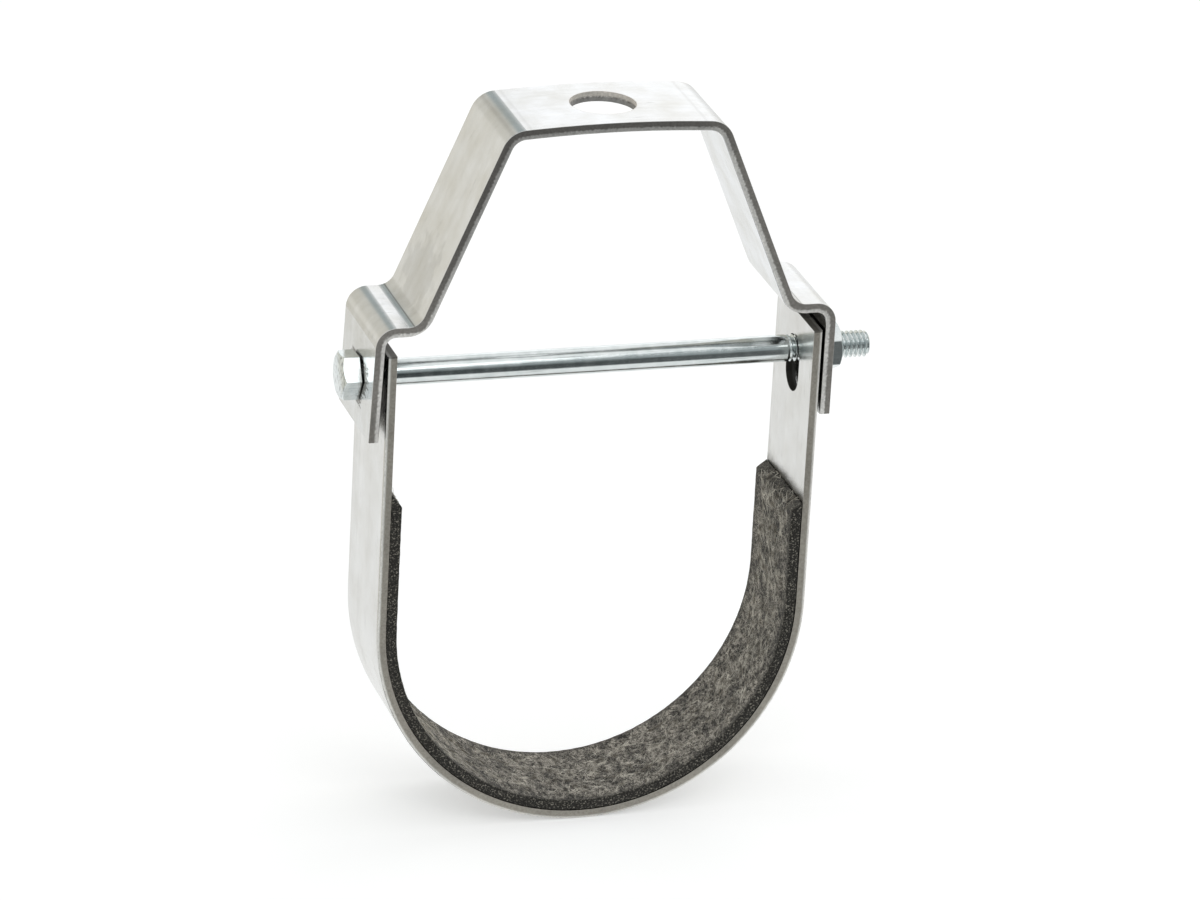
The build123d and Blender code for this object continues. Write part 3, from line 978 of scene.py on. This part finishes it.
def fibre_tree():
    """Geometry nodes that strew short curled fibres over a surface."""
    sizes = ("Density", "Length", "Thickness", "Curl")
    tree, given = new_tree("strew_fibres", {**dict.fromkeys(sizes, "Float"), "Seed": "Int"})
    roots = add(tree, "GeometryNodeDistributePointsOnFaces", sockets={
        "Mesh": given["Geometry"], "Density": given["Density"], "Seed": given["Seed"]})
    kept = add(tree, "GeometryNodeStoreNamedAttribute", data_type="FLOAT_VECTOR", domain="POINT",
               sockets={"Geometry": roots, "Name": "off_felt", "Value": roots.outputs["Normal"]})
    half = add(tree, "Math", given["Length"], 0.5, operation="MULTIPLY")
    back = add(tree, "Math", half, -1.0, operation="MULTIPLY")
    line = add(tree, "GeometryNodeCurvePrimitiveLine", sockets={
        "Start": add(tree, "CombineXYZ", back, 0.0, 0.0),
        "End": add(tree, "CombineXYZ", half, 0.0, 0.0)})
    bent = add(tree, "GeometryNodeResampleCurve", sockets={"Curve": line, "Count": 8})
    section = add(tree, "GeometryNodeCurvePrimitiveCircle", sockets={
        "Resolution": 3, "Radius": given["Thickness"]})
    fibre = add(tree, "GeometryNodeCurveToMesh", sockets={
        "Curve": bent, "Profile Curve": section.outputs[0], "Fill Caps": True})
    spin = add(tree, "FunctionNodeRandomValue", data_type="FLOAT", sockets={
        2: -pi, 3: pi, "Seed": given["Seed"]})
    turned = add(tree, "FunctionNodeAxisAngleToRotation", (0, 0, 1), spin.outputs[1])
    lying = add(tree, "FunctionNodeRotateRotation", roots.outputs["Rotation"], turned,
                rotation_space="LOCAL")
    stretch = add(tree, "FunctionNodeRandomValue", data_type="FLOAT", sockets={
        2: 0.5, 3: 1.5, "Seed": given["Seed"]})
    sizes = add(tree, "CombineXYZ", stretch.outputs[1], 1.0, 1.0)
    strewn = add(tree, "GeometryNodeInstanceOnPoints", sockets={
        "Points": kept, "Instance": fibre, "Rotation": lying, "Scale": sizes})
    real = add(tree, "GeometryNodeRealizeInstances", strewn)
    wander = add(tree, "TexNoise", sockets={
        "Vector": add(tree, "GeometryNodeInputPosition"), "Scale": 190.0, "Detail": 1.0})
    centred = add(tree, "VectorMath", wander.outputs["Color"], (-0.5, -0.5, -0.5), operation="ADD")
    swept = add(tree, "VectorMath", centred, operation="SCALE", sockets={"Scale": given["Curl"]})
    # Most of the curl lies in the felt's face, a tenth of it stands off
    off_felt = add(tree, "GeometryNodeInputNamedAttribute", data_type="FLOAT_VECTOR",
                   sockets={"Name": "off_felt"})
    rise = add(tree, "VectorMath", swept, off_felt, operation="DOT_PRODUCT")
    drop = add(tree, "Math", rise.outputs["Value"], -0.9, operation="MULTIPLY")
    drop = add(tree, "VectorMath", off_felt, operation="SCALE", sockets={"Scale": drop})
    offset = add(tree, "VectorMath", swept, drop, operation="ADD")
    curled = add(tree, "GeometryNodeSetPosition", sockets={"Geometry": real, "Offset": offset})
    # A little narrower than they fell, so that none hangs over the strap's sides
    narrowed = add(tree, "GeometryNodeTransform", sockets={
        "Geometry": curled, "Scale": (1.0, 0.87, 1.0)})
    dyed = add(tree, "GeometryNodeSetMaterial", narrowed, sockets={"Material": given["Finish"]})
    add(tree, "NodeGroupOutput", dyed)
    return tree


def make_fibres(felt, finish):
    """Loose fibres on the felt's free face, rooted clear of its rims."""
    fibres = new_piece("felt_loose_fibres", [], [])
    free = felt.data.copy()
    fibres.data = free
    work = bmesh.new()
    work.from_mesh(free)
    reach = 14.4 * mm
    bare = [face for face in work.faces
            if faces_saddle(face) or abs(face.calc_center_median().y) > reach]
    bmesh.ops.delete(work, geom=bare, context="FACES")
    work.to_mesh(free)
    work.free()
    run_tree(
        fibres, fibre_tree(), density=4.2e5, length=6.0 * mm, thickness=0.065 * mm,
        curl=6 * mm, seed=7, finish=finish,
    )
    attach(fibres, "saddle")


def faces_saddle(face):
    """Whether a face of the felt looks at the strap that it is glued to."""
    middle = face.calc_center_median()
    out = Vector((middle.x, 0, min(middle.z - PIPE_Z, 0)))
    return face.normal.dot(out.normalized()) > 0.3


place_camera()
light_studio()
lay_floor()
hang_lamp("ceiling_softbox", place=(-0.175, -1.45, 1.25), size=(1.45, 0.75), watts=6.7)
hang_lamp("rear_softbox", place=(0.92, 1.95, 0.75), size=(1.0, 0.9), watts=0.8)

yoke_zinc = galvanised_strip(
    "galvanised_yoke_strip", yoke_form, yoke_marks_and_shade, yoke_shade,
    ("#D8DADC", "#CDCDCA"), ("#8B8782", "#E2DFDB"), 1.7 * mm)
saddle_zinc = galvanised_strip(
    "galvanised_saddle_strip", saddle_form, saddle_marks_and_shade, saddle_shade,
    ("#D3D3D1", "#CAC9C5"), ("#E4E2DD", "#9B968D"), 0.8 * mm)
plating = bright_zinc()
for node, finish in (("upper_yoke", yoke_zinc), ("lower_saddle", saddle_zinc)):
    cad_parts[node].material_slots[0].material = finish

roll_thread = thread_tree()
make_bolt(roll_thread, plating)
make_nut(roll_thread, plating)
felt = make_felt(pressed_felt())
make_fibres(felt, loose_wool())

scene = bpy.context.scene
scene.view_settings.view_transform = "Standard"
